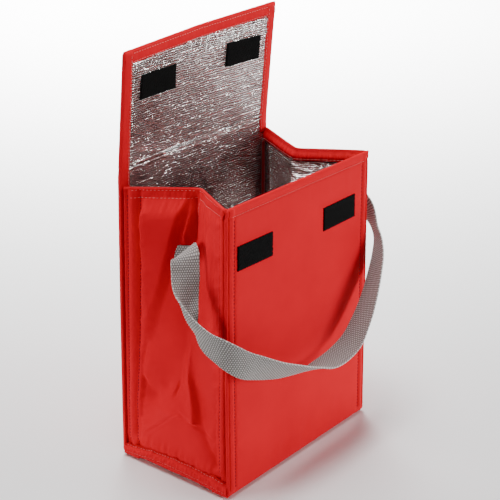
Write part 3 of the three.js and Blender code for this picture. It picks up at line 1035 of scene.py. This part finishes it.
def base_band_bulge(y, t):
    """How far the roll stands out, t of the way up it."""
    round_section = np.maximum(1 - np.abs(2 * t - 0.96) ** 3.2, 0)
    gather = 1.3 * gathers(y + 3 * t, 5.5, 101) * np.sin(math.pi * np.clip(t, 0, 1))
    seams = sum(bell((t - share) * 14, 0.9) for share in BASE_STITCHES)
    return 1.6 * (t > 0.97) + 3.4 * round_section + gather - seams


def make_base_band(name, side):
    """The gathered roll where the side is sewn to the base."""
    y = np.linspace(62.5, -63.5, 200)
    low = np.interp(y, [-64, -37, -19, 7, 33, 55, 63], [0.2, 1.4, 3.0, 4.6, 3.0, 1.0, 0.2])
    high_places = [-64, -50, -31, -15, 11, 28, 50, 63]
    high = np.interp(y, high_places, [14.3, 16.8, 18.2, 18.9, 18.2, 16.8, 13.4, 12.0])
    high = high + 1.2 * (gathers(y, 15, 103) - 0.5)

    def outside(share):
        out = side * (HALF_WIDTH - 0.3 + base_band_bulge(y, share))
        return points_at(out, y, low + (high - low) * share)

    def inside(share):
        return points_at(side * (HALF_WIDTH - 2.0), y, high - 0.6 + (low - high + 1.2) * share)

    section = [outside(t) for t in np.linspace(0, 1, 23)] + [inside(t) for t in np.linspace(0, 1, 5)]
    piece = tube(name + "_base_band", np.stack(section, 1), NYLON)
    ride(piece, "bag", "red_nylon", name + "_base_band")
    for share in BASE_STITCHES:
        light_seams.add_line(outside(share)[3:-3], (side, 0, 0.3))


def folded_strip(edge, inward, across, half, thickness):
    """A narrow strip folded over a straight edge: rings of its U section, one for each point of the edge.

    half is the distance from the middle of the fold to the strip's inside."""
    arc = np.linspace(0, math.pi, 9)
    leg = np.linspace(CORNER_STRIP_WIDTH, half, 7)[:-1]
    inner_a = np.concatenate([leg, half - np.sin(arc) * half, leg[::-1]])
    inner_b = np.concatenate([np.full(6, 1.0), np.cos(arc), np.full(6, -1.0)])
    grown = (half + thickness) / half
    outer_a = np.where(inner_a < half, half - (half - inner_a) * grown, inner_a)
    a = np.concatenate([outer_a, inner_a[::-1]])
    b = np.concatenate([inner_b * (half + thickness), (inner_b * half)[::-1]])
    return edge[:, None] + np.outer(a, inward) + np.outer(b, across)


def make_corner_bindings():
    """The bound seams inside the four upright corners: two narrow strips with a gap between them, dark red
    with painted shade.
    """
    z = np.arange(5.5, HEIGHT - HEM + 2, 6.0)
    for end_name, end in (("front", -1), ("back", 1)):
        for side_name, side in SIDES:
            for strip_name, shift, (off_side, off_wall) in CORNER_STRIPS:
                inward = unit(np.array([-side * off_side, -end * off_wall, 0.0]))
                across = np.cross(inward, [0, 0, 1.0])
                y = end * (back_face(z) - CORNER_IN - shift + 0.2)
                tip = points_at(side * (CORNER_X - shift * 0.3), y, z) + inward * CORNER_STRIP_WIDTH
                rings = folded_strip(tip, -inward, across, 0.55, 0.5)
                name = "_".join(("corner_binding", end_name, side_name, strip_name))
                ride(tube(name, rings, SHADED_TAPE), "bag", "red_nylon")


# Flap edge bindings and patches

def flap_edge_line(side, lengths):
    """The middle of the flap's wall along one side, from below the fold to the free edge."""
    below = FOLD_Z + lengths
    y, z = flap_point(lengths, 0.0)
    y = np.where(lengths < 0, back_face(below) - WALL / 2, y)
    z = np.where(lengths < 0, below, z)
    x = side * (HALF_WIDTH + 0.9)
    return points_at(x, y + flap_bow(x, z), z)


def binding_rise(a):
    """Half the thickness over a flat binding, at a distance a in from the flap's edge."""
    return BINDING_EDGE + ease(a / 10)


def flat_binding_rings(edge, inward, across, width, lift, pinch, over=0.0):
    """A flat strip folded over the flap's thin edge: rings of its U section, one for each point of the edge.

    inward and across are unit vectors at each point, lift(along, a) raises its faces, pinch closes the
    section towards the strip's ends, and over is how far it lies above another strip."""
    arc = np.linspace(0, math.pi, 9)
    leg = np.linspace(width, BINDING_EDGE, 9)
    share = np.minimum(1, 0.25 + (width - leg) / 1.2)
    under = binding_rise(leg) + over - BINDING_FABRIC
    a = np.concatenate([leg, BINDING_EDGE * (1 - np.sin(arc)), leg[::-1], leg, leg[::-1]])
    rings = []
    for i, along in enumerate(lengths_along(edge)):
        face = under + (BINDING_FABRIC + lift(along, leg)) * share
        outer_b = np.concatenate([face, (BINDING_EDGE + over) * np.cos(arc), -face[::-1]])
        b = np.concatenate([outer_b, -under, under[::-1]]) * pinch[i]
        rings.append(edge[i] + np.outer(a, inward[i]) + np.outer(b, across[i]))
    return np.array(rings)


def follow_bow(points, edge):
    """Move points beside a side edge of the flap back, as the flap bows."""
    x, z = points[..., 0], points[..., 2]
    points[..., 1] += flap_bow(x, z) - flap_bow(edge[0, 0], z)
    return points


def make_flap_side_binding(name, side):
    width = FLAP_SIDE_BINDINGS[side]
    lengths = np.linspace(-16.5, FLAP_LENGTH - 0.2, 110)
    edge = flap_edge_line(side, lengths)
    inward = np.tile([-side * 1.0, 0, 0], (len(edge), 1))
    across = np.cross(tangents(edge), inward) * side
    pinch = 0.45 + 0.55 * ease((lengths[-1] - lengths) / 2.5)

    def lift(along, a):
        seam = 0.3 * bell(a - width + SIDE_BINDING_STITCH, 0.8)
        return 0.3 * gathers(along, 8, 111 + side) * bell(a - 5, 3) - seam

    rings = flat_binding_rings(edge, inward, across, width, lift, pinch, 0.3)
    piece = tube("flap_binding_" + name, follow_bow(rings, edge), NYLON)
    bend_over_fold(piece, "red_nylon", "flap_binding_" + name)
    for face in (1, -1):
        line = edge + inward * (width - SIDE_BINDING_STITCH) + face * across * (BINDING_EDGE + 1.2)
        flap_seams.add_line(follow_bow(line[2:-4], edge), face * across[2:-4])


def make_flap_top_binding():
    x = np.linspace(-HALF_WIDTH + 0.6, HALF_WIDTH - 0.6, 150)
    y, z = flap_point(FLAP_LENGTH, 0.0)
    edge = points_at(x, y + flap_bow(x, z), z)
    down = np.tile([0, math.sin(FLAP_LEAN), -math.cos(FLAP_LEAN)], (len(x), 1))
    across = np.tile([0, -math.cos(FLAP_LEAN), -math.sin(FLAP_LEAN)], (len(x), 1))
    first, second = TOP_BINDING_STITCHES

    def lift(along, a):
        seams = 0.3 * bell(a - first, 0.7) + 0.3 * bell(a - second, 0.8)
        return 0.4 * gathers(along, 8, 115) * bell(a - 6.5, 3.5) - seams

    rings = flat_binding_rings(edge, down, across, FLAP_TOP_BINDING, lift, np.ones(len(x)))
    ride(tube("flap_binding_top", rings, NYLON), "flap", "red_nylon", "flap_binding_top")
    for drop in TOP_BINDING_STITCHES:
        height = binding_rise(drop) - 0.15
        for face in (1, -1):
            line = edge + down * drop + face * across * height
            flap_seams.add_line(line[5:-5], face * across[5:-5])


def patch_grids(width, seed):
    """A rectangle of tape with slightly frayed edges and a rough face: places across, up and out."""
    u, v = np.meshgrid(np.linspace(-1, 1, 66), np.linspace(-1, 1, 32))
    across = u * width / 2 + 0.25 * ripple(v * PATCH_HEIGHT, u * 3, 5, seed) * np.abs(u) ** 6
    up = v * PATCH_HEIGHT / 2 + 0.25 * ripple(u * width, v * 3, 5, seed + 1) * np.abs(v) ** 6
    border = np.minimum(width / 2 * (1 - np.abs(u)), PATCH_HEIGHT / 2 * (1 - np.abs(v)))
    rough = 0.22 * ripple(across, up, 2.4, seed + 2) * ease(border)
    return across, up, PATCH_THICKNESS - edge_roll(border, 0.7) + rough


def add_patch(name, x, y, z, pile, body):
    piece = slab(name, points_at(x, y - pile, z), points_at(x, y + PATCH_SINK, z), FUZZ)
    ride(piece, body, "hook_and_loop", name)


def make_loop_patch(name, side, seed):
    across, up, pile = patch_grids(LOOP_WIDTHS[side], seed)
    x = across + LOOP_MIDDLES[side]
    z = up + HEIGHT - LOOP_BELOW_RIM
    add_patch("loop_patch_" + name, x, front_face(z) - front_relief(x, z), z, pile, "bag")


def make_hook_patch(name, side, seed):
    across, up, pile = patch_grids(PATCH_WIDTH, seed)
    tilt = HOOK_TILTS[side]
    x = side * HOOK_MIDDLE + across * math.cos(tilt) - up * math.sin(tilt)
    length = FLAP_LENGTH - HOOK_BELOW_EDGE + across * math.sin(tilt) + up * math.cos(tilt)
    y, z = flap_point(length, -WALL / 2 - 0.4)
    add_patch("hook_patch_" + name, x, y + flap_bow(x, z), z, pile, "flap")


# Handle

def tab_x():
    edge = gusset_edge(TAB_TOP)
    return HALF_WIDTH - float(fold_depth(TAB_TOP)) * (edge - TURN_Y) / (edge - VALLEY_Y)


def station(x, y, drop, across):
    return [x, y, TAB_TOP - drop, *across]


def at_tab(side, out, forward, drop, across):
    """Over a tab, out from the gusset there and forward from the tab's middle."""
    return station(side * (tab_x() + out), TURN_Y - forward, drop, across)


def at_side(side, out, forward, drop, across):
    """Beside a gusset, out from the flat side."""
    return station(side * (HALF_WIDTH + out), TURN_Y - forward, drop, across)


def at_front(side, inwards, forward, drop, across):
    """In front of the bag, inwards from a side and forward from the front panel's foot."""
    return station(side * (HALF_WIDTH - inwards), -HALF_DEPTH - forward, drop, across)


# from the left tab round the front to the right tab, turning over once beside each gusset
HANDLE_STATIONS = np.array([
    at_tab(-1, 9.2, 0, 9, [0.3, -0.72, 0.62]),
    at_tab(-1, 18.5, 10.3, -1.5, [0.72, -0.37, 0.58]),
    at_tab(-1, 25, 16.8, -1, [0.72, -0.47, 0.51]),
    at_side(-1, -1, 18.5, 3.8, [0.74, -0.65, 0.14]),
    at_side(-1, 1, 20.5, 12.5, [0.71, -0.71, -0.01]),
    at_side(-1, 5, 24, 24, [0.87, -0.46, -0.16]),
    at_side(-1, 9, 29, 34.5, [0.96, -0.13, -0.24]),
    at_side(-1, 12.5, 35, 43.5, [0.95, 0.18, -0.27]),
    at_side(-1, 14, 40, 50, [0.67, 0.57, -0.47]),
    at_side(-1, 14, 45.5, 56, [0.41, 0.63, -0.66]),
    at_side(-1, 13, 56, 64.5, [0.08, 0.53, -0.85]),
    at_front(-1, -9.5, 2.5, 71, [-0.17, 0.32, -0.93]),
    at_front(-1, 4, 13, 83.5, [-0.3, 0.09, -0.95]),
    at_front(-1, 21, 17.5, 92.5, [0.11, 0.26, -0.96]),
    at_front(-1, 40, 20.5, 101.5, [0.39, 0.41, -0.83]),
    at_front(-1, 62, 22, 110, [0.55, 0.49, -0.68]),
    at_front(-1, 88, 22.5, 118.5, [0.69, 0.56, -0.47]),
    at_front(1, 96.5, 22.5, 122.5, [0.59, 0.81, -0.04]),
    at_front(1, 74.5, 22, 121.5, [0.46, 0.88, 0.15]),
    at_front(1, 54.5, 21.5, 115, [0.32, 0.93, 0.19]),
    at_front(1, 39, 20.5, 101, [0.25, 0.97, -0.02]),
    at_front(1, 26.5, 19, 86.5, [0.22, 0.94, -0.28]),
    at_front(1, 10.5, 15, 65, [0.33, 0.87, -0.37]),
    at_front(1, -5, 8, 45.5, [0.54, 0.8, -0.25]),
    at_front(1, -14, -1, 29.5, [0.65, 0.68, -0.34]),
    at_side(1, 12, 52, 6, [0.1, 0.5, -0.85]),
    at_side(1, 5, 35, 0, [-0.9, 0.25, -0.3]),
    at_tab(1, 25.5, 17, -4, [-0.65, -0.65, 0.3]),
    at_tab(1, 19.5, 4, -5, [-0.42, -0.84, 0.3]),
    at_tab(1, 8.7, 0, 1, [-0.39, -0.92, 0]),
])


def smooth_curve(stations, count):
    """A centripetal curve through the stations, evenly spaced in its own parameter."""
    ends = np.vstack([2 * stations[0] - stations[1], stations, 2 * stations[-1] - stations[-2]])
    out = []
    for t in np.linspace(0, len(stations) - 1, count):
        i = min(int(t), len(stations) - 2)
        w = t - i
        p0, p1, p2, p3 = ends[i:i + 4]
        d0, d1, d2 = (max(np.linalg.norm(b - a), 1e-6) ** 0.5 for a, b in ((p0, p1), (p1, p2), (p2, p3)))
        m1 = ((p1 - p0) / d0 - (p2 - p0) / (d0 + d1) + (p2 - p1) / d1) * d1
        m2 = ((p2 - p1) / d1 - (p3 - p1) / (d1 + d2) + (p3 - p2) / d2) * d1
        c2 = -3 * p1 + 3 * p2 - 2 * m1 - m2
        c3 = 2 * p1 - 2 * p2 + m1 + m2
        out.append(p1 + m1 * w + c2 * w * w + c3 * w**3)
    return np.array(out)


def webbing_relief(across, along):
    """The weave standing up from the webbing's face: yarns that go over and under, and firm edges."""
    rows = np.cos(2 * math.pi * along / WEAVE_PITCH)
    yarns = np.sin(2 * math.pi * across / WEAVE_PITCH) * np.cos(math.pi * along / WEAVE_PITCH)
    flat = ease((WEBBING_WIDTH / 2 - np.abs(across)) / 1.2)
    selvedge = 0.2 * bell(np.abs(across) - WEBBING_WIDTH / 2 + 1.0, 0.6)
    return (0.12 * rows + 0.2 * yarns) * flat + selvedge


def webbing_slab(name, top, under, across, along, settled):
    uv = np.stack([across, along], -1).reshape(-1, 2)
    return slab(name, top, under, STRAP, uvs=np.concatenate([uv, uv]), settled=settled, sharp=180)


def strap_piece(name, middles, across_vectors, along, cup):
    """Webbing along a line of middles, with woven faces and rounded edges. cup is how sharply it is curled
    across its width at each middle, in radians for each millimetre."""
    tangent = tangents(middles)
    across = across_vectors - (across_vectors * tangent).sum(1)[:, None] * tangent
    across = unit(smoothed(unit(across), ROW_EASE))
    thick = unit(np.cross(across, tangent))[:, None]
    across = across[:, None]
    half_width = WEBBING_WIDTH / 2
    w, s = np.meshgrid(edge_steps(half_width, WEAVE_STEP, fine=4, radius=WEBBING / 2), along)
    face = WEBBING / 2 - edge_roll(half_width - np.abs(w), WEBBING / 2) + webbing_relief(w, s)
    curl = np.maximum(cup, 1e-6)[:, None]
    turn = w * curl
    rise = (1 - np.cos(turn)) / curl
    rise = rise - 0.5 * rise.max(1, keepdims=True)
    middle = middles[:, None] + (np.sin(turn) / curl)[..., None] * across - rise[..., None] * thick
    normal = np.cos(turn)[..., None] * thick + np.sin(turn)[..., None] * across
    reach = face[..., None] * normal
    return webbing_slab(name, middle + reach, middle - reach, w, s, settled=False)


def make_handle():
    middles = smooth_curve(HANDLE_STATIONS[:, :3], 900)
    across = smooth_curve(HANDLE_STATIONS[:, 3:], 900)
    lengths = lengths_along(middles)
    along = np.linspace(0, lengths[-1], int(lengths[-1] / WEAVE_STEP) + 1)
    middles, across = (at_lengths(along, lengths, line) for line in (middles, across))
    turn = along[np.argmin(np.linalg.norm(middles - HANDLE_STATIONS[TURN_STATION, :3], axis=1))]
    cup = TURN_CURL * bell(along - turn, TURN_LENGTH)
    piece = strap_piece("handle_webbing", middles, across, along, cup)
    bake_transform(piece)
    dress(["handle"])


def make_tab(name, side):
    w = edge_steps(TAB_HALF, WEAVE_STEP, fine=4, radius=WEBBING / 2)
    across, z = np.meshgrid(w, np.arange(TAB_TOP - TAB_HEIGHT, TAB_TOP + 0.1, WEAVE_STEP))
    y = TURN_Y - across
    roll = edge_roll(TAB_HALF - np.abs(across), WEBBING / 2)
    base = HALF_WIDTH - inset(y, z) + TAB_OUT
    outer = points_at(side * (base + WEBBING - roll + webbing_relief(across, z)), y, z)
    inner = points_at(side * (base + roll), y, z)
    piece = webbing_slab("handle_tab_" + name, outer, inner, across, z, settled=True)
    ride(piece, "bag", "webbing", "handle_tab_" + name)


# Scene

def make_floor():
    """A plain pale table."""
    size = 6.0
    corners = [(x * size, y * size, -0.0006) for x, y in ((-1, -1), (1, -1), (1, 1), (-1, 1))]
    mesh = bpy.data.meshes.new("floor")
    mesh.from_pydata(corners, [], [[0, 1, 2, 3]])
    look = Look("floor")
    look.surface(Base_Color=(0.93, 0.93, 0.93, 1), Roughness=0.9)
    mesh.materials.append(look.material)
    floor = bpy.data.objects.new("floor", mesh)
    bpy.context.scene.collection.objects.link(floor)


def aim(item, place, target):
    item.location = place
    item.rotation_euler = (Vector(target) - Vector(place)).to_track_quat("-Z", "Y").to_euler()
    bpy.context.scene.collection.objects.link(item)


def add_area_light(name, place, target, size, power, spread=180):
    data = bpy.data.lights.new(name, "AREA")
    data.shape = "RECTANGLE"
    data.size, data.size_y = size
    data.energy = power
    data.spread = math.radians(spread)
    aim(bpy.data.objects.new(name, data), place, target)


def light_scene():
    world = bpy.data.worlds.new("studio")
    world.use_nodes = True
    background = world.node_tree.nodes["Background"]
    background.inputs["Color"].default_value = (1, 1, 1, 1)
    background.inputs["Strength"].default_value = 0.09
    bpy.context.scene.world = world
    add_area_light("key", (1.0, -1.68, 0.35), (0, 0, 0.13), (0.9, 0.7), 33)
    add_area_light("side", (-1.65, 1.0, 0.3), (-0.05, 0, 0.12), (0.7, 0.7), 19)
    add_area_light("top", (-0.1, 0.15, 1.7), (0, 0, 0.2), (0.7, 0.7), 18)
    add_area_light("inside", (-0.2, -0.05, 1.15), (0.04, 0.02, 0.25), (0.3, 0.3), 5)
    add_area_light("table", (1.6, 1.6, 1.6), (1.6, 1.6, 0), (2.0, 2.0), 260, spread=100)


def make_camera():
    data = bpy.data.cameras.new("camera")
    data.sensor_width = 36.0
    data.lens = 97.2
    camera = bpy.data.objects.new("camera", data)
    aim(camera, (-0.9043, -0.7350, 0.6703), (0.0056, 0.0, 0.1911))
    bpy.context.scene.camera = camera


def make_bag():
    make_front()
    make_front_hem()
    make_back()
    make_base()
    make_front_lining()
    make_back_lining()
    for name, side in SIDES:
        make_gusset(name, side)
        sew_gusset(side)
        make_gusset_hem(name, side)
        make_gusset_lining(name, side)
        make_base_band(name, side)
    make_corner_bindings()


def make_flap_edges_and_patches():
    for name, side in SIDES:
        make_flap_side_binding(name, side)
    make_flap_top_binding()
    for index, (name, side) in enumerate(SIDES):
        make_loop_patch(name, side, 121 + 5 * index)
        make_hook_patch(name, side, 141 + 5 * index)


make_camera()
make_handle()
for tab_name, tab_side in SIDES:
    make_tab(tab_name, tab_side)
make_bag()
make_flap_edges_and_patches()
ride(light_seams.piece("seam_stitches", THREAD), "bag", "red_nylon")
# the band stitches in the darker thread: painted shade of their stitch holes
ride(shaded_seams.piece("band_stitches", SHADED_THREAD), "bag", "red_nylon")
bend_over_fold(flap_seams.piece("flap_stitches", THREAD), "red_nylon")
make_floor()
light_scene()
